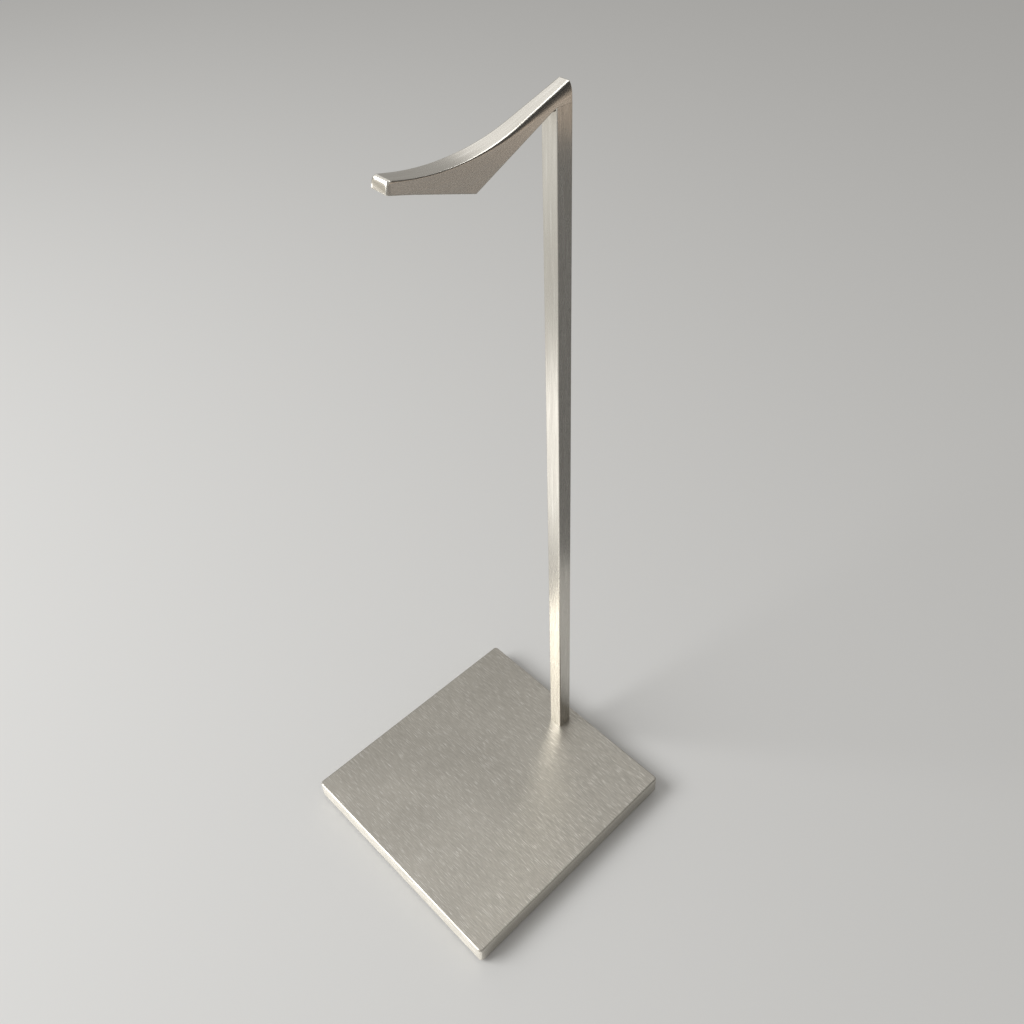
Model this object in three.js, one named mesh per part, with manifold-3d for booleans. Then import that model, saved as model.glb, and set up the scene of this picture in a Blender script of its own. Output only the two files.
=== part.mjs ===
// Display stand: a square steel base plate, a square bar post near the middle of one edge of the plate,
// and a profile-cut saddle arm on top of the post, pointing over the plate.
// Millimetres, +Z up. The origin is under the middle of the plate, on the surface the feet stand on.
// The arm points to -Y and the post stands near the +Y edge.
import * as THREE from 'three';
import { mergeVertices } from 'three/addons/utils/BufferGeometryUtils.js';
import Module from 'manifold-3d';

// ---- driving dimensions ----
const plateSide = 100;
const plateThick = 8;
const plateCornerR = 1.5;
const plateEdge = 0.5;

const footR = 5;
const footThick = 1.5;
const footInset = 12;
const footEase = 0.4;

const bar = 6;
const barEdge = 0.3;
const postInset = 7.5;

// The arm's heights are above the plate's top, and its reaches are from the post's axis.
const armInnerZ = 276;
const armTipReach = 59;
const armTipBottomReach = 59.8;
const armTipThick = 3.6;
const armCornerReach = 32;
const armCornerZ = 262;
const saddleR = 70;
const saddleLowReach = 38;
const saddleLowZ = 271.5;
const rampAngle = THREE.MathUtils.degToRad(19);
const tangentReach = saddleLowReach - saddleR * Math.sin(rampAngle);

const weldLeg = 0.8;
const weldSag = 0.2;
const jointGap = 0.05;

const screwR = 2;
const screwLength = 18;
const screwHeadR = 3.9;
const screwChamfer = 0.5;
const screwRecess = 0.3;
const screwClear = 0.1;
const plateHoleR = 2.25;
const tapDepth = 14;
const hexAcross = 2.5;
const hexDepth = 1.6;

const arcSteps = 24;
const roundSides = 48;
// How far a cutter runs past the face that it opens.
const overshoot = 1;

// ---- places worked out from them ----
const plateBottomZ = footThick;
const plateTopZ = footThick + plateThick;
const postY = plateSide / 2 - postInset;
const half = bar / 2;

const wasm = await Module();
wasm.setup();

const steel = { color: 0xb4b0a6, roughness: 0.35, metalness: 1 };
const weldSteel = { color: 0x8e877c, roughness: 0.5, metalness: 1 };
const screwSteel = { color: 0x77777a, roughness: 0.4, metalness: 1 };
const rubber = { color: 0x1b1b1c, roughness: 0.85, metalness: 0 };

function named(name, geometry, look) {
  const mesh = new THREE.Mesh(geometry, new THREE.MeshStandardMaterial(look));
  mesh.name = name;
  return mesh;
}

// A closed mesh as a manifold solid, so that holes can be cut in it.
function toSolid(geometry) {
  const bare = geometry.clone();
  bare.deleteAttribute('normal');
  bare.deleteAttribute('uv');
  const merged = mergeVertices(bare, 1e-4);
  const vertProperties = new Float32Array(merged.attributes.position.array);
  const triVerts = new Uint32Array(merged.index.array);
  return new wasm.Manifold(new wasm.Mesh({ numProp: 3, vertProperties, triVerts }));
}

function fromSolid(solid) {
  const cut = solid.getMesh();
  const geometry = new THREE.BufferGeometry();
  geometry.setAttribute('position', new THREE.BufferAttribute(cut.vertProperties, 3));
  geometry.setIndex(new THREE.BufferAttribute(cut.triVerts, 1));
  geometry.computeVertexNormals();
  return geometry;
}

// A square outline with round corners, centred on the origin.
function roundedSquare(side, radius) {
  const h = side / 2;
  const r = radius;
  const shape = new THREE.Shape();
  shape.moveTo(-h + r, -h);
  shape.lineTo(h - r, -h);
  shape.absarc(h - r, -h + r, r, -Math.PI / 2, 0, false);
  shape.lineTo(h, h - r);
  shape.absarc(h - r, h - r, r, 0, Math.PI / 2, false);
  shape.lineTo(-h + r, h);
  shape.absarc(-h + r, h - r, r, Math.PI / 2, Math.PI, false);
  shape.lineTo(-h, -h + r);
  shape.absarc(-h + r, -h + r, r, Math.PI, Math.PI * 1.5, false);
  return shape;
}

// A solid of revolution about +Z from [radius, height] points that start and end on the axis.
function turned(points, sides) {
  const profile = points.map(([r, z]) => new THREE.Vector2(r, z));
  return new THREE.LatheGeometry(profile, sides).rotateX(Math.PI / 2);
}

// The plate: round corners, eased edges, and a countersunk clearance hole for the post's screw.
function basePlate() {
  const slab = new THREE.ExtrudeGeometry(roundedSquare(plateSide, plateCornerR), {
    depth: plateThick - 2 * plateEdge,
    bevelEnabled: true,
    bevelThickness: plateEdge,
    bevelSize: plateEdge,
    bevelOffset: -plateEdge,
    bevelSegments: 3,
    curveSegments: 6,
  }).translate(0, 0, plateBottomZ + plateEdge);
  const mouthR = screwHeadR + screwRecess + screwClear;
  const hole = turned([
    [0, -overshoot],
    [mouthR + overshoot, -overshoot],
    [plateHoleR, mouthR - plateHoleR],
    [plateHoleR, plateThick + overshoot],
    [0, plateThick + overshoot],
  ], roundSides).translate(0, postY, plateBottomZ);
  return named('base_plate', fromSolid(toSolid(slab).subtract(toSolid(hole))), steel);
}

// The post: a length of square bar, tapped at the foot. The hole is a plain cylinder, a little wider than
// the screw, with a drill's pointed end.
function post() {
  const tapR = screwR + screwClear;
  const length = armInnerZ - 2 * jointGap;
  const stick = new THREE.ExtrudeGeometry(roundedSquare(bar, barEdge), {
    depth: length,
    bevelEnabled: false,
    curveSegments: 3,
  });
  const tapped = turned([
    [0, -overshoot],
    [tapR, -overshoot],
    [tapR, tapDepth],
    [0, tapDepth + tapR],
  ], roundSides);
  const geometry = fromSolid(toSolid(stick).subtract(toSolid(tapped)));
  const mesh = named('post', geometry, steel);
  mesh.position.set(0, postY, plateTopZ + jointGap);
  return mesh;
}

// Height of the arm's top above the plate: a straight ramp down from the post that runs tangent
// into the saddle's arc.
function saddleTop(reach) {
  const onArc = Math.max(reach, tangentReach) - saddleLowReach;
  const arcZ = saddleLowZ + saddleR - Math.sqrt(saddleR ** 2 - onArc ** 2);
  return arcZ + Math.max(tangentReach - reach, 0) * Math.tan(rampAngle);
}

// Puts a piece drawn as reach against height, with its width along the third axis, over the plate:
// reach runs to -Y from the post's axis and height starts at the plate's top.
function standOverPlate(mesh) {
  const alongArm = new THREE.Vector3(0, -1, 0);
  const up = new THREE.Vector3(0, 0, 1);
  const across = new THREE.Vector3(-1, 0, 0);
  mesh.quaternion.setFromRotationMatrix(new THREE.Matrix4().makeBasis(alongArm, up, across));
  mesh.position.set(0, postY, plateTopZ);
  return mesh;
}

// The arm: its side profile, reach along the arm against height, extruded to the bar's width.
function saddleArm() {
  const tipZ = saddleTop(armTipReach);
  const profile = new THREE.Shape();
  profile.moveTo(-half, armInnerZ);
  profile.lineTo(half, armInnerZ);
  profile.lineTo(armCornerReach, armCornerZ);
  profile.lineTo(armTipBottomReach, tipZ - armTipThick);
  for (let i = 0; i <= arcSteps; i += 1) {
    const reach = THREE.MathUtils.lerp(armTipReach, tangentReach, i / arcSteps);
    profile.lineTo(reach, saddleTop(reach));
  }
  profile.lineTo(-half, saddleTop(-half));
  const geometry = new THREE.ExtrudeGeometry(profile, {
    depth: bar - 2 * barEdge,
    bevelEnabled: true,
    bevelThickness: barEdge,
    bevelSize: barEdge,
    bevelOffset: -barEdge,
    bevelSegments: 2,
  }).translate(0, 0, -half + barEdge);
  return standOverPlate(named('saddle_arm', geometry, steel));
}

// The weld bead: a three-sided fillet in the corner under the arm, in front of the post. Its upper face
// falls away from the arm's sloping underside by weldSag over its length.
function cornerWeld() {
  const underSlope = (armInnerZ - armCornerZ) / (armCornerReach - half);
  const startZ = armInnerZ - 2 * barEdge;
  const section = new THREE.Shape();
  section.moveTo(half + jointGap, startZ);
  section.lineTo(half + jointGap, startZ - weldLeg);
  section.lineTo(half + jointGap + weldLeg, startZ - weldLeg * underSlope - weldSag);
  const length = bar - 4 * barEdge;
  const geometry = new THREE.ExtrudeGeometry(section, { depth: length, bevelEnabled: false });
  geometry.translate(0, 0, -length / 2);
  return standOverPlate(named('corner_weld', geometry, weldSteel));
}

// The screw: a 90 degree countersunk head with a hexagon socket, pointing up into the post.
function baseScrew() {
  const body = turned([
    [0, 0],
    [screwHeadR, 0],
    [screwR, screwHeadR - screwR],
    [screwR, screwLength - screwChamfer],
    [screwR - screwChamfer, screwLength],
    [0, screwLength],
  ], roundSides);
  const hexR = hexAcross / Math.sqrt(3);
  const socket = turned([
    [0, -overshoot],
    [hexR, -overshoot],
    [hexR, hexDepth],
    [0, hexDepth],
  ], 6);
  const geometry = fromSolid(toSolid(body).subtract(toSolid(socket)));
  const mesh = named('base_screw', geometry, screwSteel);
  mesh.position.set(0, postY, plateBottomZ + screwRecess);
  return mesh;
}

// A foot: a low rubber disc with an eased lower edge.
function foot(name, x, y) {
  const disc = turned([
    [0, 0],
    [footR - footEase, 0],
    [footR, footEase],
    [footR, footThick],
    [0, footThick],
  ], roundSides);
  const mesh = named(name, disc, rubber);
  mesh.position.set(x, y, 0);
  return mesh;
}

const stand = new THREE.Group();
stand.add(basePlate(), post(), saddleArm(), cornerWeld(), baseScrew());
const footAt = plateSide / 2 - footInset;
for (const [end, y] of [['front', -footAt], ['rear', footAt]]) {
  for (const [side, x] of [['left', -footAt], ['right', footAt]]) {
    stand.add(foot(`foot_${end}_${side}`, x, y));
  }
}

export default stand;
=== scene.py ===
# %% [markdown]
# # A brushed steel display stand
#
# The object is a solid steel plate with a slim square post near one edge. A saddle-shaped arm sits on
# top of the post and points over the plate. The CAD model is already right in size and place, so this
# lesson adds what a CAD model leaves out: softly worked edges, brushing in the metal, a ground weld,
# and light that shows all of it. We load the model first, because the new pieces have to fit it.

import math

import bpy
import numpy as np
from mathutils import Matrix, Vector


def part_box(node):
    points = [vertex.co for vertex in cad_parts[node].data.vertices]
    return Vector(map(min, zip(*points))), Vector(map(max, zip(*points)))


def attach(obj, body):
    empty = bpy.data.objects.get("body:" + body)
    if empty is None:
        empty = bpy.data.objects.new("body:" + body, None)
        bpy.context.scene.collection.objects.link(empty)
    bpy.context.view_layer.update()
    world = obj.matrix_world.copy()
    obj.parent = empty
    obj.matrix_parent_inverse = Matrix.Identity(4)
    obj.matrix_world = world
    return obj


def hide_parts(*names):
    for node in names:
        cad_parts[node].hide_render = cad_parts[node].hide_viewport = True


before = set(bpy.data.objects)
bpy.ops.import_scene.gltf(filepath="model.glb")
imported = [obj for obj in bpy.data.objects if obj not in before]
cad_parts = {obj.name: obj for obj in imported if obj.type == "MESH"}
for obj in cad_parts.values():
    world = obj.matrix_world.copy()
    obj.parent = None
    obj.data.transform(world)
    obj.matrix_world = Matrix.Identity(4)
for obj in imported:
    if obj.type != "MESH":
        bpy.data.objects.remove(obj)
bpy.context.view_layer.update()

# %% [markdown]
# ## The measures that the pieces share
#
# The plate, post and arm meet each other, so the plate's and post's sizes are read once from the CAD boxes.
# The arm's side view repeats the CAD outline: a straight ramp that runs into an arc. Only the arc's radius,
# its low point and the ramp's angle are design choices: where the ramp ends follows from them.

# %% Read the sizes
MM = 0.001
plate_low, plate_high = (np.array(corner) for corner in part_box("base_plate"))
post_low, post_high = (np.array(corner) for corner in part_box("post"))

PLATE_SIDE = plate_high[0] - plate_low[0]
PLATE_TOP = plate_high[2]
POST_Y = (post_low[1] + post_high[1]) / 2
HALF_BAR = (post_high[0] - post_low[0]) / 2
print(f"bar {2 * HALF_BAR / MM:.2f} mm, post axis at y = {POST_Y / MM:.2f} mm")

# %% The arm's outline
RAMP_ANGLE = math.radians(19)
SADDLE_RADIUS = 70 * MM
SADDLE_LOW_REACH = 38 * MM
SADDLE_LOW_Z = PLATE_TOP + 271.5 * MM
TANGENT_REACH = SADDLE_LOW_REACH - SADDLE_RADIUS * math.sin(RAMP_ANGLE)
ARM_INNER_Z = PLATE_TOP + 276 * MM
ARM_CORNER_REACH = 32 * MM
ARM_CORNER_Z = PLATE_TOP + 262 * MM
ARM_TIP_REACH = 59 * MM
ARM_TIP_THICK = 3.6 * MM
print(f"the ramp meets the arc {TANGENT_REACH / MM:.2f} mm from the post's axis")

# %% [markdown]
# Smooth shading blends the direction of neighbouring faces, so a flat face beside a rounded edge would look
# dented. A row of points close to the edge holds the flat face flat. The finer step is for a joint that
# shows as a hairline.

# %% Small steps
HOLD = 0.12 * MM
FINE = 0.04 * MM
print(f"small steps: {HOLD / MM:.2f} mm beside an edge, {FINE / MM:.2f} mm at a joint")

# %% [markdown]
# ## A mesh from a grid of points
#
# Every new piece is a surface with two parameters, like a sheet of graph paper bent into shape. One
# parameter goes round the piece and the other goes along it. The grid can close on itself in either
# direction, and an open end is closed by a cap. Building it from whole arrays keeps the shape a formula,
# so a change in one size moves every point that depends on it.

# %% Grid helper
def grid_faces(rows, columns, close_along):
    """The corner numbers of each face. Face (i, j) joins row i to i + 1 and column j to j + 1, and the
    columns wrap round. The rows wrap too if close_along, or else each end gets a cap."""
    row = np.arange(rows if close_along else rows - 1)
    i, j = np.meshgrid(row, np.arange(columns), indexing="ij")
    next_i, next_j = (i + 1) % rows, (j + 1) % columns
    corners = [i * columns + j, i * columns + next_j, next_i * columns + next_j, next_i * columns + j]
    faces = np.stack(corners, axis=-1).reshape(-1, 4).tolist()
    if not close_along:
        faces.append(list(range(columns))[::-1])
        faces.append(list(range((rows - 1) * columns, rows * columns)))
    return faces


def grid_mesh(name, points, close_along=False):
    """Puts a (rows, columns, 3) array of points into a smooth mesh object."""
    rows, columns, _ = points.shape
    mesh = bpy.data.meshes.new(name)
    mesh.from_pydata(points.reshape(-1, 3).tolist(), [], grid_faces(rows, columns, close_along))
    mesh.validate()
    mesh.shade_smooth()
    piece = bpy.data.objects.new(name, mesh)
    bpy.context.scene.collection.objects.link(piece)
    print(f"{name}: {len(mesh.vertices)} points, {len(mesh.polygons)} faces")
    return piece


# %% [markdown]
# Seen from above, the plate and the bar are both squares with round corners. The corners are taken in turn,
# against the clock, and the arm's section will use the same order.

# %% Outline helper
CORNER_SIGNS = ((1, 1), (-1, 1), (-1, -1), (1, -1))
HOLD_SHARE = 0.02


def rounded_square_outline(half_side, radius, arc_points, side_points):
    """Outline of a square with round corners. Each corner is a quarter circle: centre + radius *
    (cos t, sin t). Straight sides hold extra points beside each corner so the shading stays flat."""
    quarter = np.linspace(0, math.pi / 2, arc_points)
    corners = []
    for k, signs in enumerate(CORNER_SIGNS):
        t = quarter + k * math.pi / 2
        centre = np.array(signs) * (half_side - radius)
        corners.append(centre + radius * np.stack([np.cos(t), np.sin(t)], axis=1))
    steps = np.linspace(0, 1, side_points + 2)[1:-1]
    hold = min(HOLD_SHARE, steps[0] / 2)
    steps = np.concatenate([[hold], steps, [1 - hold]])[:, None]
    outline = []
    for k, corner in enumerate(corners):
        start, end = corner[-1], corners[(k + 1) % 4][0]
        outline += [corner, start + (end - start) * steps]
    return np.concatenate(outline)


# %% [markdown]
# ## Brush directions
#
# Brushed steel looks different along its scratches and across them. Each steel piece made here carries a UV
# map called brush, measured in metres, whose first coordinate runs the way the abrasive belt ran. The bar
# and the weld read it for their scratches, and all of them read it to stretch the highlights.

# %% Brush map helper
def brush_map(piece, along, across):
    """Writes the UV map: for each face corner, the distance along the scratches and across them, taken from
    the vertex that the corner uses."""
    layer = piece.data.uv_layers.new(name="brush")
    used = np.zeros(len(piece.data.loops), np.int32)
    piece.data.loops.foreach_get("vertex_index", used)
    uv = np.stack([np.ravel(along)[used], np.ravel(across)[used]], axis=1)
    layer.data.foreach_set("uv", uv.astype(np.float32).ravel())


# %% [markdown]
# The CAD model stays in the file for collisions. A new piece only stands for one of its parts, and the next
# helper hides that part and says which.

# %% Place in the object
def place(piece, slot, *nodes):
    """Hides the CAD nodes that a piece stands for, prints their names, and lets it ride on the object's only
    body.
    """
    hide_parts(*nodes)
    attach(piece, "root")
    print(f"{piece.name} stands for {', '.join(nodes)}")


# %% [markdown]
# ## The base plate
#
# The real plate is sawn from flat bar, its edges are eased with a file, and a countersunk hole is drilled
# from below for the post's screw. The section is one closed loop: out along the bottom, round the lower
# edge, up the side, round the upper edge, in along the top, and back down the hole. Carrying that loop
# round the plate makes a ring with no seam, so the hole costs no cutting.

# %% Plate section
PLATE_EDGE = 0.6 * MM
HOLE_RADIUS = 2.25 * MM
MOUTH_RADIUS = 4.3 * MM
EDGE_POINTS = 8


def plate_loops():
    """The rows of the section. Each row is (mix, inset, hole radius, height): mix 1 lies on the plate's
    outline moved in by inset, and mix 0 lies on the hole's circle. An eased edge is a quarter circle."""
    thick = plate_high[2] - plate_low[2]
    cone = MOUTH_RADIUS - HOLE_RADIUS
    turn = np.linspace(0, math.pi / 2, EDGE_POINTS)
    inset = PLATE_EDGE * (1 - np.sin(turn))
    rise = PLATE_EDGE * (1 - np.cos(turn))
    rows = [(0, 0, MOUTH_RADIUS, 0.0), (0, 0, MOUTH_RADIUS + HOLD, 0.0)]
    rows += [(0.5, PLATE_EDGE, MOUTH_RADIUS, 0.0), (1, PLATE_EDGE + HOLD, MOUTH_RADIUS, 0.0)]
    rows += [(1, i, MOUTH_RADIUS, r) for i, r in zip(inset, rise)]
    rows += [(1, 0, MOUTH_RADIUS, PLATE_EDGE + HOLD), (1, 0, MOUTH_RADIUS, thick - PLATE_EDGE - HOLD)]
    rows += [(1, i, HOLE_RADIUS, thick - r) for i, r in zip(inset[::-1], rise[::-1])]
    rows += [(1, PLATE_EDGE + HOLD, HOLE_RADIUS, thick), (0.5, PLATE_EDGE, HOLE_RADIUS, thick)]
    rows += [(0, 0, HOLE_RADIUS + HOLD, thick), (0, 0, HOLE_RADIUS, thick)]
    rows += [(0, 0, HOLE_RADIUS, thick - HOLD), (0, 0, HOLE_RADIUS, cone + HOLD)]
    rows += [(0, 0, HOLE_RADIUS, cone), (0, 0, MOUTH_RADIUS - HOLD, HOLD)]
    return np.array(rows)


print(f"the plate's section has {len(plate_loops())} rows")

# %% Base plate
PLATE_CORNER = 1.5 * MM
PLATE_CORNER_POINTS = 7
PLATE_SIDE_POINTS = 90


def plate_points():
    """Each point is a mix between a point on the outline and the point of the hole's circle that lies in
    the same direction from the hole's centre."""
    centre = np.array([0.0, POST_Y])
    surface = []
    for mix, inset, radius, height in plate_loops():
        outer = rounded_square_outline(PLATE_SIDE / 2 - inset, PLATE_CORNER - inset,
                                       PLATE_CORNER_POINTS, PLATE_SIDE_POINTS)
        away = outer - centre
        circle = centre + radius * away / np.linalg.norm(away, axis=1, keepdims=True)
        flat = circle + (outer - circle) * mix
        level = np.full((len(flat), 1), plate_low[2] + height)
        surface.append(np.concatenate([flat, level], axis=1))
    return np.array(surface)


plate_grid = plate_points()
plate = grid_mesh("plate", plate_grid, close_along=True)
# Adding the height to both keeps the map from collapsing on the plate's upright sides.
brush_map(plate, plate_grid[..., 0] + plate_grid[..., 2], plate_grid[..., 1] + plate_grid[..., 2])
place(plate, "brushed_plate", "base_plate")

# %% [markdown]
# ## The post
#
# The post is a length of bright square bar. Its long edges are barely broken, which shows as a thin line of
# light. We carry the bar's outline straight up. It ends a little inside the arm, because the real joint is
# welded and ground until no seam is left.

# %% Post
BAR_EDGE = 0.35 * MM
BAR_CORNER_POINTS = 6
BAR_SIDE_POINTS = 2
POST_ROWS = 60
WELD_DEPTH = 1.0 * MM


def post_points():
    """The bar's outline at each height. The foot is drawn in by a hair where the saw cut was broken, so it
    meets the plate in a fine line. Inside the arm the bar is drawn in as well, so that no two faces lie in
    one plane."""
    foot, seam = post_low[2], ARM_INNER_Z
    straight = np.linspace(foot + 3 * FINE, seam - FINE, POST_ROWS)
    heights = np.concatenate([[foot, foot + FINE, foot + 2 * FINE], straight,
                              [seam, seam + 2 * FINE, seam + 3 * FINE, seam + WELD_DEPTH]])
    draw_in = np.where(heights > seam + FINE, 3 * FINE, 0.0)
    draw_in[0] = FINE
    rows = []
    for z, inset in zip(heights, draw_in):
        flat = rounded_square_outline(HALF_BAR - inset, BAR_EDGE, BAR_CORNER_POINTS, BAR_SIDE_POINTS)
        rows.append(np.column_stack([flat[:, 0], flat[:, 1] + POST_Y, np.full(len(flat), z)]))
    return np.array(rows)


post_grid = post_points()
post = grid_mesh("post_bar", post_grid)
around = np.cumsum(np.linalg.norm(np.diff(post_grid, axis=1, prepend=post_grid[:, -1:]), axis=2), axis=1)
brush_map(post, post_grid[..., 2], around)
place(post, "brushed_bar", "post")

# %% [markdown]
# ## The saddle arm
#
# The arm is cut from plate along a saddle-shaped outline, welded on top of the post and dressed by hand.
# Hand dressing rounds the upper edges most where the weld was ground, close to the post, and again at the
# very tip. We carry a rectangle with round corners along the arm and let its height and its corner radii
# change on the way: a loft, as a boat builder would call it. The first step is the outline from the side.

# %% Arm profile
def arm_top(reach):
    """Height of the arm's top: an arc of a circle, and before the tangent point a straight ramp."""
    on_arc = np.maximum(reach, TANGENT_REACH) - SADDLE_LOW_REACH
    arc = SADDLE_LOW_Z + SADDLE_RADIUS - np.sqrt(SADDLE_RADIUS ** 2 - on_arc ** 2)
    return arc + np.maximum(TANGENT_REACH - reach, 0) * math.tan(RAMP_ANGLE)


def arm_under(reach):
    """Height of the underside: level over the post, then straight to the low corner, then to the tip."""
    tip_under = arm_top(ARM_TIP_REACH) - ARM_TIP_THICK
    return np.interp(reach, [HALF_BAR, ARM_CORNER_REACH, ARM_TIP_REACH],
                     [ARM_INNER_Z, ARM_CORNER_Z, tip_under])


print(f"the arm is {(arm_top(ARM_CORNER_REACH) - ARM_CORNER_Z) / MM:.2f} mm deep at its low corner")

# %% [markdown]
# The radii come next. They are worked out for all rows at once from the distance to the post and the tip.

# %% Edge radii
UPPER_EDGE = 0.35 * MM
UPPER_GAIN_AT_POST = 1.15 * MM
UPPER_GAIN_AT_TIP = 0.45 * MM
DEEPER_AT_POST = 1.6
GROUND_REACH = 34 * MM
TIP_FADE = 2.5 * MM
LOWER_EDGE = 0.3 * MM
LOWER_EDGE_AT_POST = 0.02 * MM
LOWER_EDGE_FADE = 2 * MM


def edge_radii(reach):
    """Upper radius: fine along the middle, growing towards the ground weld and for the last millimetres of
    the tip. Near the post it reaches further down the side than in over the top, so the corner is a quarter
    of an ellipse. Lower radius: almost nothing where the post stands, fine everywhere else."""
    near_post = np.clip(1 - reach / GROUND_REACH, 0, 1)
    near_tip = np.exp((reach - ARM_TIP_REACH) / TIP_FADE)
    upper = UPPER_EDGE + UPPER_GAIN_AT_POST * near_post + UPPER_GAIN_AT_TIP * near_tip
    deep = upper * (1 + DEEPER_AT_POST * near_post ** 2)
    lower = np.interp(reach, [HALF_BAR, HALF_BAR + LOWER_EDGE_FADE], [LOWER_EDGE_AT_POST, LOWER_EDGE])
    return upper, deep, lower


for place_name, place_reach in (("post", 0.0), ("tip", ARM_TIP_REACH)):
    print(f"upper radius at the {place_name}: {edge_radii(place_reach)[0] / MM:.2f} mm")

# %% [markdown]
# Both ends are rounded over too. Rows crowd together there and at each crease of the outline.

# %% Arm rows
TIP_ROUND = 1.8 * MM
BACK_ROUND = 0.5 * MM
END_POINTS = 8
MIDDLE_ROWS = 150
POST_CREASE = 0.1 * MM


def arm_rows():
    """Reach of each row, how far its section is drawn in by the rounded end, and how far all round by the
    flat end face. Both ends follow a quarter circle: the reach goes as the sine of the angle and the draw-in
    as one minus its cosine."""
    turn = np.linspace(0, math.pi / 2, END_POINTS)
    back_reach = -HALF_BAR + BACK_ROUND * (1 - np.cos(turn))
    back_inset = BACK_ROUND * (1 - np.sin(turn))
    middle = np.linspace(-HALF_BAR + BACK_ROUND, ARM_TIP_REACH - TIP_ROUND, MIDDLE_ROWS)[1:-1]
    creases = [HALF_BAR, HALF_BAR + POST_CREASE]
    creases += [ARM_CORNER_REACH - HOLD, ARM_CORNER_REACH, ARM_CORNER_REACH + HOLD]
    middle = np.sort(np.concatenate([middle, creases]))
    tip_reach = ARM_TIP_REACH - TIP_ROUND * (1 - np.sin(turn))
    tip_inset = TIP_ROUND * (1 - np.cos(turn))
    reach = np.concatenate([[-HALF_BAR], back_reach, middle, tip_reach, [ARM_TIP_REACH] * 2])
    inset = np.concatenate([[BACK_ROUND], back_inset, 0 * middle, tip_inset, [TIP_ROUND] * 2])
    face = np.zeros(len(reach))
    face[[0, -2, -1]] = HOLD, HOLD, 2 * HOLD
    return reach, inset, face


print(f"the arm has {len(arm_rows()[0])} rows")

# %% [markdown]
# One section is four corner arcs and four straight sides. As arrays, the same few lines make the sections of
# every row.

# %% Arm section
ARM_CORNER_POINTS = 8
SIDE_STEPS = np.array([0.03, 0.35, 0.65, 0.97])


def corner_arcs(half, top, under, radii):
    """The corners of each row's section: corner centre + radius * (cos t, sin t). An upper corner has one
    radius across and another down, and a lower corner is round."""
    upper, deep, lower = radii
    quarter = np.linspace(0, math.pi / 2, ARM_CORNER_POINTS)
    arcs = []
    for k, (sx, sz) in enumerate(CORNER_SIGNS):
        across, down = (upper, deep) if sz > 0 else (lower, lower)
        level = top - down if sz > 0 else under + down
        t = quarter + k * math.pi / 2
        x = (sx * (half - across))[:, None] + across[:, None] * np.cos(t)
        z = level[:, None] + down[:, None] * np.sin(t)
        arcs.append(np.stack([x, z], axis=2))
    return arcs


def join_arcs(arcs):
    """Puts points on the straight side after each arc: the arc's end + step * the way to the next arc."""
    section = []
    for k, arc in enumerate(arcs):
        way = arcs[(k + 1) % 4][:, :1] - arc[:, -1:]
        section += [arc, arc[:, -1:] + way * SIDE_STEPS[None, :, None]]
    return np.concatenate(section, axis=1)


# %% [markdown]
# The ends are filed round by hand, more over the top than at the sides, so the sections of the end rows
# shrink unevenly. A limit on each radius keeps two corners from running into each other in the thin tip.

# %% Arm surface
TIP_SIDE_SHARE = 0.2
TIP_LOW_SHARE = 0.12
BACK_SIDE_SHARE = 0.7
RADIUS_LIMITS = (0.6, 0.7, 0.25)
TIP_LEAN = 0.22
LEAN_REACH = 9 * MM


def arm_points():
    """The section of each row, drawn in most at its top, less at its sides and least at its foot where the
    ends are rounded. Near the tip it leans out towards its foot, by a slope times the depth below the top."""
    reach, inset, face = arm_rows()
    over_post = reach < HALF_BAR
    # Over the post the foot of the section isn't drawn in, so the post and arm stay flush.
    low_inset = np.where(over_post, 0.0, inset * TIP_LOW_SHARE)
    side_inset = inset * np.where(over_post, BACK_SIDE_SHARE, TIP_SIDE_SHARE)
    top = arm_top(reach) - inset - face
    under = arm_under(reach) + low_inset + face
    half = HALF_BAR - side_inset - face
    room = (half, top - under, top - under)
    radii = [np.minimum(radius, size * limit)
             for radius, size, limit in zip(edge_radii(reach), room, RADIUS_LIMITS)]
    section = join_arcs(corner_arcs(half, top, under, radii))
    x, z = section[..., 0], section[..., 1]
    leaning = np.clip((reach - ARM_TIP_REACH) / LEAN_REACH + 1, 0, 1) ** 2
    out = reach[:, None] + TIP_LEAN * leaning[:, None] * (top[:, None] - z)
    return np.stack([x, POST_Y - out, z], axis=2), out


arm_grid, arm_reach = arm_points()
arm = grid_mesh("saddle", arm_grid)
place(arm, "brushed_bar", "saddle_arm")

# %% [markdown]
# The abrasive belt was drawn along the arm, so its scratches bend with the arm.

# %% Arm brushing
END_STRIP = 1 * MM


def arm_brush(grid, reach):
    """The scratches follow the top's curve: across them is x plus the depth below the top. Close to the tip
    and the back, height is worked into the first coordinate, so that it doesn't stand still on the upright
    end faces."""
    z = grid[..., 2]
    depth = arm_top(reach) - z
    from_tip = np.clip(1 - (ARM_TIP_REACH - reach) / END_STRIP, 0, 1)
    from_back = np.clip(1 - (reach + HALF_BAR) / END_STRIP, 0, 1)
    return reach - z * (from_tip - from_back), grid[..., 0] + depth


brush_map(arm, *arm_brush(arm_grid, arm_reach))
print(f"the arm's brush map covers {len(arm.data.loops)} face corners")

# %% [markdown]
# ## The feet, the weld and the screw
#
# Four stick-on rubber feet are under the plate. They are moulded, but each is round about an upright axis, so
# its profile can be carried round that axis as on a lathe. The screw beside them keeps its CAD mesh and only
# gets a material.

# %% Rubber feet
FOOT_SIDES = 64
FOOT_EASE = 0.35 * MM
EASE_POINTS = 6
FOOT_FLAT_SHARE = 0.6


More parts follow.
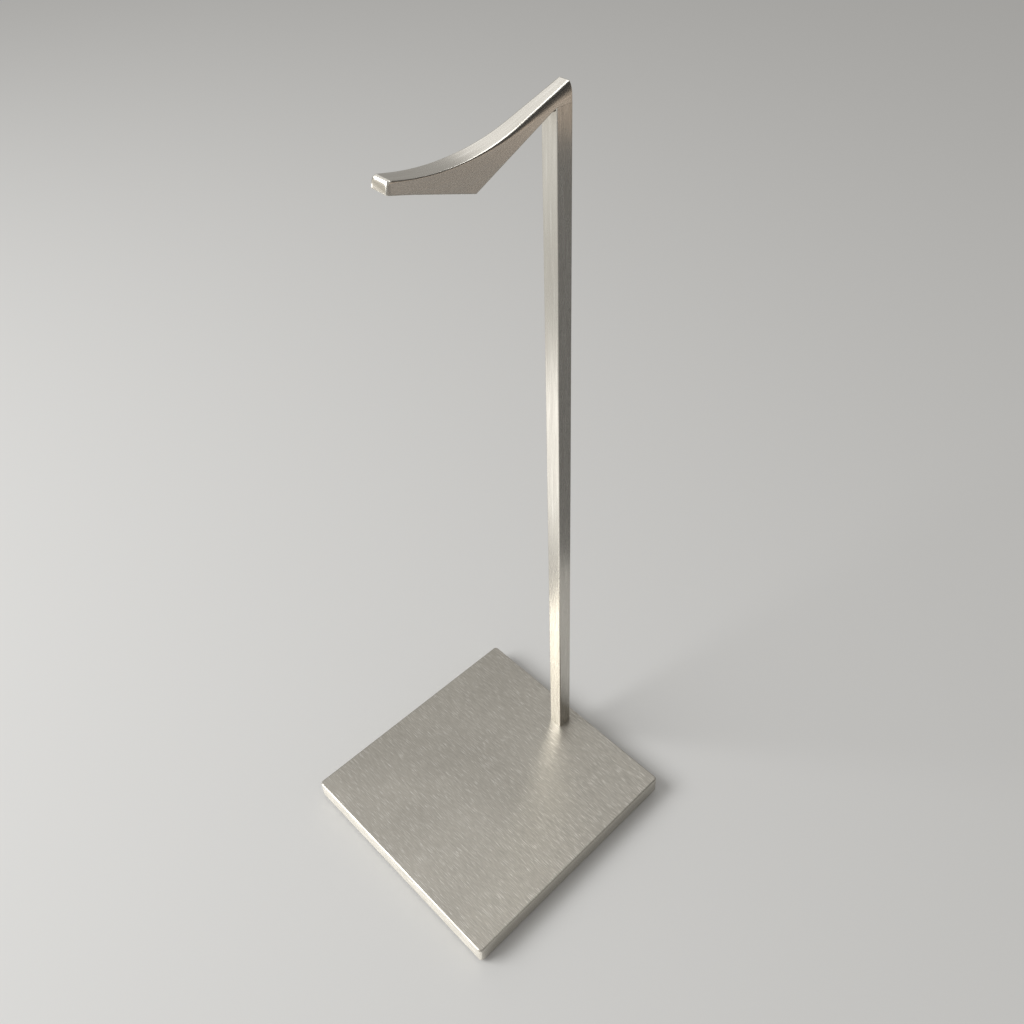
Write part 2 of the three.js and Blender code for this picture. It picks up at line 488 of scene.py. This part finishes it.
def turned_points(profile, centre):
    """A surface of revolution: each profile point (radius, height) goes round the upright axis."""
    profile = np.array(profile, float)
    angle = np.linspace(0, 2 * math.pi, FOOT_SIDES, endpoint=False)
    x = centre[0] + profile[:, :1] * np.cos(angle)
    y = centre[1] + profile[:, :1] * np.sin(angle)
    z = np.repeat(centre[2] + profile[:, 1:], FOOT_SIDES, axis=1)
    return np.stack([x, y, z], axis=2)


def foot_piece(node):
    """A moulded rubber disc, crowned a little at its rim above and below."""
    low, high = (np.array(corner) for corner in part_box(node))
    radius, height = (high[0] - low[0]) / 2, high[2] - low[2]
    flat = FOOT_FLAT_SHARE * radius
    turn = np.linspace(0, math.pi / 2, EASE_POINTS)
    lower = [(radius - FOOT_EASE * (1 - math.sin(t)), FOOT_EASE * (1 - math.cos(t))) for t in turn]
    upper = [(radius, height - HOLD), (radius - HOLD, height), (flat, height)]
    centre = ((low[0] + high[0]) / 2, (low[1] + high[1]) / 2, low[2])
    piece = grid_mesh(node + "_rubber", turned_points([(flat, 0.0)] + lower + upper, centre))
    place(piece, "rubber_foot", node)
    return piece


feet = [foot_piece(f"foot_{end}_{side}") for end in ("front", "rear") for side in ("left", "right")]

# %% [markdown]
# A bead of weld is left in the inner corner, where no grinder reaches. Each drop of weld freezes into a
# ripple, so the bead is a short rod whose radius swells and shrinks.

# %% Weld bead
BEAD_RADIUS = 0.45 * MM
BEAD_BEHIND = 0.2 * MM
BEAD_BELOW = 0.3 * MM
BEAD_ROWS = 40
BEAD_SIDES = 24
RIPPLE = 0.12
RIPPLE_COUNT = 7
END_ROUNDNESS = 6
END_SHARE = 0.05


def bead_points():
    """A rod across the corner. Its radius is radius * (1 + ripple * cosine), times the root of one minus a
    high power of the distance from the middle, which draws both ends in."""
    low, high = (np.array(corner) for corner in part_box("corner_weld"))
    steps = np.linspace(0, 1, BEAD_ROWS)
    x = low[0] + (high[0] - low[0]) * steps
    radius = BEAD_RADIUS * (1 + RIPPLE * np.cos(steps * 2 * math.pi * RIPPLE_COUNT))
    radius = radius * np.sqrt(np.clip(1 - (2 * steps - 1) ** END_ROUNDNESS, END_SHARE, 1))
    angle = np.linspace(0, 2 * math.pi, BEAD_SIDES, endpoint=False)
    y = (high[1] - BEAD_BEHIND) + radius[:, None] * np.cos(angle)
    z = (high[2] - BEAD_BELOW) + radius[:, None] * np.sin(angle)
    return np.stack([np.repeat(x[:, None], BEAD_SIDES, axis=1), y, z], axis=2)


bead_grid = bead_points()
bead = grid_mesh("weld_bead", bead_grid)
brush_map(bead, bead_grid[..., 0], bead_grid[..., 2])
place(bead, "weld", "corner_weld")

# %% [markdown]
# ## Materials from nodes
#
# A material is a small network: noise makes a pattern, maths bends it, and the shader turns it into colour,
# gloss and bumps. These helpers each add a node or two, so that the finishes below read as a list of steps.

# %% Shader helper
def new_material(name, colour, metallic, roughness):
    """A material with one shader, whose plain values are set on the shader's own sockets."""
    material = bpy.data.materials.new(name)
    material.use_nodes = True
    shader = material.node_tree.nodes["Principled BSDF"]
    shader.inputs["Base Color"].default_value = (*colour, 1)
    shader.inputs["Metallic"].default_value = metallic
    shader.inputs["Roughness"].default_value = roughness
    return material, material.node_tree, shader


# %% Pattern helpers
RICH_DETAIL = 4.0
PLAIN_DETAIL = 2.0
NOISE_ROUGHNESS = 0.6


def stretched_noise(tree, source, scale, detail=RICH_DETAIL):
    """Noise on coordinates scaled differently in each direction: a low scale draws it out that way."""
    mapping = tree.nodes.new("ShaderNodeMapping")
    mapping.inputs["Scale"].default_value = scale
    noise = tree.nodes.new("ShaderNodeTexNoise")
    noise.inputs["Scale"].default_value = 1.0
    noise.inputs["Detail"].default_value = detail
    noise.inputs["Roughness"].default_value = NOISE_ROUGHNESS
    tree.links.new(source, mapping.inputs["Vector"])
    tree.links.new(mapping.outputs["Vector"], noise.inputs["Vector"])
    return noise.outputs["Fac"]


def remap(tree, value, low, high, to_low, to_high):
    """A straight line that takes low to to_low and high to to_high, and stays level beyond them."""
    node = tree.nodes.new("ShaderNodeMapRange")
    for name, number in zip(("From Min", "From Max", "To Min", "To Max"), (low, high, to_low, to_high)):
        node.inputs[name].default_value = number
    tree.links.new(value, node.inputs["Value"])
    return node.outputs["Result"]


def combine(tree, operation, first, second):
    """The sum or product of two values. Either may be a number or another node's."""
    node = tree.nodes.new("ShaderNodeMath")
    node.operation = operation
    for socket, value in zip(node.inputs, (first, second)):
        if isinstance(value, (int, float)):
            socket.default_value = value
        else:
            tree.links.new(value, socket)
    return node.outputs["Value"]


# %% Colour and bump helpers
def mix_colours(tree, share, first, second):
    """Goes from the first colour to the second as share goes from 0 to 1. Either may be another node's."""
    node = tree.nodes.new("ShaderNodeMix")
    node.data_type = "RGBA"
    tree.links.new(share, node.inputs["Factor"])
    for name, colour in (("A", first), ("B", second)):
        socket = next(s for s in node.inputs if s.name == name and s.type == "RGBA")
        if isinstance(colour, tuple):
            socket.default_value = (*colour, 1)
        else:
            tree.links.new(colour, socket)
    return next(s for s in node.outputs if s.type == "RGBA")


def raise_bump(tree, shader, height, depth):
    """Tilts the surface's direction as if it rose by depth where height goes from 0 to 1."""
    bump = tree.nodes.new("ShaderNodeBump")
    bump.inputs["Strength"].default_value = 1.0
    bump.inputs["Distance"].default_value = depth
    tree.links.new(height, bump.inputs["Height"])
    tree.links.new(bump.outputs["Normal"], shader.inputs["Normal"])


# %% [markdown]
# ## Brushed steel
#
# A brushed face is thousands of fine scratches, each a few millimetres long. We stretch noise along them:
# one layer of hair-fine scratches, one of longer marks, and one slow cloudiness from handling. The bar's
# noise lies on the brush map, which bends with the arm. The plate and the screw are brushed straight along
# X, so their noise lies on plain object coordinates.

# %% Scratch layers
MARKS_ON_MAP = (0.45, 0.3, 1)
MARKS_ON_OBJECT = (0.8, 0.85, 0.85)
CLOUD_ON_MAP = (25, 60, 1)
CLOUD_ON_OBJECT = (30, 30, 30)


def scratch_layers(tree, along, across, by_object):
    """Three layers of noise. The marks' scale is the scratches' scale times a share in each direction."""
    if by_object:
        source = tree.nodes.new("ShaderNodeTexCoord").outputs["Object"]
        fine_scale, shares, cloud_scale = (along, across, across), MARKS_ON_OBJECT, CLOUD_ON_OBJECT
    else:
        node = tree.nodes.new("ShaderNodeUVMap")
        node.uv_map = "brush"
        source = node.outputs["UV"]
        fine_scale, shares, cloud_scale = (along, across, 1), MARKS_ON_MAP, CLOUD_ON_MAP
    mark_scale = [scale * share for scale, share in zip(fine_scale, shares)]
    fine = stretched_noise(tree, source, fine_scale)
    marks = stretched_noise(tree, source, mark_scale, PLAIN_DETAIL)
    cloud = stretched_noise(tree, source, cloud_scale, PLAIN_DETAIL)
    return fine, marks, cloud


# %% [markdown]
# The layers change the colour and roughness a little and raise a very small bump. Where a longer mark peaks,
# a short near-white fleck is painted into the colour: a painted glint. The anisotropy on the shader spreads
# each reflection across the scratches, which is what makes the post's reflection in the plate a soft cone.

# %% Steel helper
# The fleck colour is a painted glint: near-white, mixed in where the longer marks peak.
PAINTED_GLINT = (0.97, 0.95, 0.90)
PAINTED_GLINT_FROM, PAINTED_GLINT_FULL = 0.59, 0.68
SHADE_FROM, SHADE_FULL = 0.35, 0.65
NOISE_LOW, NOISE_HIGH = 0.3, 0.7
SCRATCH_WEAR = 0.06
CLOUD_WEAR = 0.03
QUARTER_TURN = 0.25


def spread_highlights(tree, shader, anisotropy):
    """Stretches the highlights. They are turned by a quarter from the brush map's first coordinate, because
    a scratch spreads light across itself."""
    shader.inputs["Anisotropic"].default_value = anisotropy
    shader.inputs["Anisotropic Rotation"].default_value = QUARTER_TURN
    tangent = tree.nodes.new("ShaderNodeTangent")
    tangent.direction_type = "UV_MAP"
    tangent.uv_map = "brush"
    tree.links.new(tangent.outputs["Tangent"], shader.inputs["Tangent"])


def brushed_steel(name, dark, light, roughness, anisotropy, along, across, depth, painted_glint=0.3,
                  by_object=False):
    """Colour runs from dark to light with the scratches, and where a longer mark peaks a short bright fleck
    is
    painted in: a painted glint. Roughness is lowest in the polished tops. With no anisotropy no brush map is
    needed."""
    material, tree, shader = new_material(name, light, 1.0, roughness)
    fine, marks, cloud = scratch_layers(tree, along, across, by_object)
    blend = combine(tree, "ADD", combine(tree, "MULTIPLY", fine, 0.5), combine(tree, "MULTIPLY", marks, 0.5))
    shade = mix_colours(tree, remap(tree, blend, SHADE_FROM, SHADE_FULL, 0.0, 1.0), dark, light)
    # Painted glints: a short bright fleck where a longer mark peaks.
    painted_glints = remap(tree, marks, PAINTED_GLINT_FROM, PAINTED_GLINT_FULL, 0.0, painted_glint)
    tree.links.new(mix_colours(tree, painted_glints, shade, PAINTED_GLINT), shader.inputs["Base Color"])
    worn = combine(tree, "ADD", remap(tree, blend, NOISE_LOW, NOISE_HIGH, SCRATCH_WEAR, -SCRATCH_WEAR),
                   remap(tree, cloud, NOISE_LOW, NOISE_HIGH, -CLOUD_WEAR, CLOUD_WEAR))
    tree.links.new(combine(tree, "ADD", worn, roughness), shader.inputs["Roughness"])
    raise_bump(tree, shader, blend, depth)
    if anisotropy:
        spread_highlights(tree, shader, anisotropy)
    print(f"{name}: {len(tree.nodes)} nodes")
    return material


# %% The four steels
# The fleck strength in each call sets how strong its painted glints are.
plate_steel = brushed_steel(
    "brushed_plate", dark=(0.43, 0.41, 0.365), light=(0.67, 0.64, 0.575), roughness=0.36, anisotropy=0.6,
    along=300, across=4600, depth=0.004 * MM, painted_glint=0.7, by_object=True)
bar_steel = brushed_steel(
    "brushed_bar", dark=(0.58, 0.555, 0.505), light=(0.68, 0.655, 0.60), roughness=0.27, anisotropy=0.6,
    along=90, across=4200, depth=0.002 * MM, painted_glint=0.15)
weld_steel = brushed_steel(
    "ground_weld", dark=(0.10, 0.08, 0.065), light=(0.28, 0.24, 0.20), roughness=0.5, anisotropy=0.1,
    along=900, across=2600, depth=0.02 * MM)
screw_steel = brushed_steel(
    "machined_screw", dark=(0.30, 0.30, 0.31), light=(0.45, 0.45, 0.46), roughness=0.38, anisotropy=0,
    along=600, across=2000, depth=0.01 * MM, by_object=True)

# %% [markdown]
# ## Rubber
#
# Moulded rubber is matt and nearly black, with a fine grain from the mould and a greyish bloom that comes
# with age.

# %% Moulded rubber
GRAIN_SCALE = 2500
BLOOM_SCALE = 160


def moulded_rubber():
    """Matt black rubber: fine grain in the bump, and bloom in the colour and the roughness."""
    material, tree, shader = new_material("moulded_rubber", (0.03, 0.03, 0.032), 0.0, 0.8)
    source = tree.nodes.new("ShaderNodeTexCoord").outputs["Object"]
    grain = stretched_noise(tree, source, (GRAIN_SCALE,) * 3)
    bloom = stretched_noise(tree, source, (BLOOM_SCALE,) * 3)
    tree.links.new(remap(tree, bloom, NOISE_LOW, NOISE_HIGH, 0.7, 0.9), shader.inputs["Roughness"])
    tree.links.new(mix_colours(tree, bloom, (0.02, 0.02, 0.021), (0.045, 0.045, 0.047)),
                   shader.inputs["Base Color"])
    raise_bump(tree, shader, grain, 0.02 * MM)
    print(f"{material.name}: {len(tree.nodes)} nodes")
    return material


rubber = moulded_rubber()

# %% [markdown]
# Each piece takes one material. The screw's CAD mesh comes with a plain one, which is taken out first.

# %% Give each piece its material
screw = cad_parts["base_screw"]
screw.data.materials.clear()
finishes = [(screw, screw_steel), (plate, plate_steel), (post, bar_steel), (arm, bar_steel)]
finishes += [(bead, weld_steel)] + [(foot, rubber) for foot in feet]
for piece, material in finishes:
    piece.data.materials.append(material)
    print(f"{piece.name} is made of {material.name}")

# %% [markdown]
# ## Floor
#
# The stand is shown on a pale floor. The floor has no gloss at all, because the cards that are laid on it
# further down would show in it as bright patches.

# %% Floor
def pale_floor():
    """A wide matt plane at the height the feet stand on."""
    bpy.ops.mesh.primitive_plane_add(size=40.0, location=(0, 0, 0))
    board = bpy.context.object
    board.name = "floor"
    material, _, shader = new_material("pale_floor", (0.74, 0.74, 0.73), 0.0, 0.75)
    shader.inputs["Specular IOR Level"].default_value = 0.0
    board.data.materials.append(material)
    print(f"{board.name}: {board.dimensions.x:.0f} m wide")
    return board


floor = pale_floor()

# %% [markdown]
# ## Lamps
#
# A large lamp at the front left lights the faces that look that way and leaves the right-hand faces darker,
# which is how the square section reads as square. It is the only lamp that lights the floor. Metal shows a
# lamp only where the angles meet, so each smaller lamp makes one highlight. Light linking keeps it off
# everything else: a lamp lights one piece alone, or leaves the floor out. The camera doesn't see the lamps.

# %% Lamp helpers
def facing(position, aim, axis):
    """The turn that points an object's axis from its position towards the aim."""
    return (Vector(aim) - Vector(position)).to_track_quat(axis, "Y").to_euler()


def soft_lamp(name, position, width, power, aim=(0, 0, 0.12), only=None, skip=None, tint=(1, 1, 1)):
    """A square lamp turned to face a point on the stand. If only is given, it lights that object alone, and
    if skip is given, it lights everything but that object."""
    data = bpy.data.lights.new(name, "AREA")
    data.shape = "SQUARE"
    data.size = width
    data.energy = power
    data.color = tint
    lamp = bpy.data.objects.new(name, data)
    bpy.context.scene.collection.objects.link(lamp)
    lamp.location = position
    lamp.visible_camera = False
    lamp.rotation_euler = facing(position, aim, "-Z")
    if only or skip:
        linked = bpy.data.collections.new(name + "_link")
        linked.objects.link(only or skip)
        linked.collection_objects[0].light_linking.link_state = "INCLUDE" if only else "EXCLUDE"
        lamp.light_linking.receiver_collection = linked
    print(f"{name}: {power} W, {width} m wide")


# %% Lamps
NECK = (0, 0.035, 0.285)
TIP = (0, -0.016, 0.283)
soft_lamp("key", (-0.48, -0.74, 0.85), 0.7, 9.5)
soft_lamp("low_front", (-0.45, -0.90, 0.20), 0.35, 2.0, aim=(0, 0, 0), skip=floor)
soft_lamp("plate_box", (-0.15, 0.50, 0.90), 0.4, 0.20, aim=(0.03, 0, 0), only=plate)
soft_lamp("cone_box", (-0.49, -0.34, 1.05), 0.4, 1.0, aim=(0, 0.04, 0.1), only=post)
soft_lamp("arm_box", (-0.795, 0.30, 1.035), 0.64, 0.95, aim=NECK, only=arm)
soft_lamp("arm_edge", (-0.12, 0.25, 0.85), 0.25, 0.8, aim=NECK, only=arm)
soft_lamp("arm_side", (0.41, 0.39, 0.06), 0.5, 0.9, aim=NECK, only=arm, tint=(1.0, 0.86, 0.76))
soft_lamp("tip_box", (-0.745, -0.27, 0.89), 0.35, 2.0, aim=TIP, only=arm)

# %% [markdown]
# ## Cards
#
# Polished metal shows its surroundings more than its lamps. In a studio, cards are stood round it: a dark one
# gives a face its depth, and a white one on the table lifts a face that looks down. The cards here are seen
# by reflections only, so they leave no shadow and never stand in view. A card that glows a little stands for
# one that a lamp of its own would light.

# %% Card helper
def card(name, position, width, height, turn, colour, glow=0.0):
    """A flat card, which lies face up until it is turned."""
    bpy.ops.mesh.primitive_plane_add(size=1.0)
    board = bpy.context.object
    board.name = name
    board.scale = (width, height, 1.0)
    board.location = position
    board.rotation_euler = turn
    board.visible_camera = False
    board.visible_diffuse = False
    board.visible_shadow = False
    material, _, shader = new_material(name, colour, 0.0, 1.0)
    shader.inputs["Emission Color"].default_value = (1.0, 0.98, 0.94, 1)
    shader.inputs["Emission Strength"].default_value = glow
    board.data.materials.append(material)
    print(f"{name}: {width} by {height} m")


# %% Cards
LYING = (0, 0, 0)
UPRIGHT = (math.pi / 2, 0, math.radians(-43))
NECK_CARD = (0.045, 0.080, 0.325)
TIP_CARD = (-0.112, -0.113, 0.259)
card("dark_card", (0.075, 0.112, 0.12), 0.30, 0.23, UPRIGHT, (0.19, 0.19, 0.19))
card("grey_card", (0.075, 0.112, 0.305), 0.30, 0.14, UPRIGHT, (0.42, 0.36, 0.31))
card("neck_card", NECK_CARD, 0.11, 0.11, facing(NECK_CARD, NECK, "Z"), (0.03, 0.03, 0.03))
card("white_card", (-0.085, -0.1203, 0.0003), 0.28, 0.1395, LYING, (0.8, 0.8, 0.8), glow=0.72)
card("far_card", (-0.305, -0.27, 0.0003), 0.16, 0.16, LYING, (0.56, 0.56, 0.54))
card("tip_card", TIP_CARD, 0.10, 0.10, facing(TIP_CARD, TIP, "Z"), (0.8, 0.75, 0.65), glow=0.35)

# %% [markdown]
# ## Room light and camera
#
# A pale, even world fills the shadows, as the walls of a room would. The camera looks down on the stand from
# the right of its front. A small shift moves the view sideways and down without tilting the camera.

# %% Room light
world = bpy.data.worlds.new("studio")
bpy.context.scene.world = world
world.use_nodes = True
background = world.node_tree.nodes["Background"]
background.inputs["Color"].default_value = (1.0, 0.98, 0.95, 1)
background.inputs["Strength"].default_value = 0.42
print(f"{world.name}: strength {background.inputs['Strength'].default_value:.2f}")

# %% Camera
def stand_camera():
    """A camera given by where it is, which way it looks and a small sideways and downward shift."""
    azimuth, elevation, roll = (math.radians(angle) for angle in (43.78, 40.94, 0.34))
    data = bpy.data.cameras.new("camera")
    data.lens = 35.43
    data.sensor_width = 36
    data.shift_x = -0.0586
    data.shift_y = -0.0508
    data.clip_start = 0.01
    camera = bpy.data.objects.new("camera", data)
    bpy.context.scene.collection.objects.link(camera)
    camera.location = (184.34 * MM, -143.30 * MM, 387.92 * MM)
    turn = Matrix.Rotation(azimuth, 3, "Z") @ Matrix.Rotation(math.pi / 2 - elevation, 3, "X")
    camera.rotation_euler = (turn @ Matrix.Rotation(roll, 3, "Z")).to_euler()
    bpy.context.scene.camera = camera
    print(f"camera {camera.location.length:.2f} m from the origin, {data.lens} mm lens")


stand_camera()
bpy.context.scene.view_settings.view_transform = "Standard"
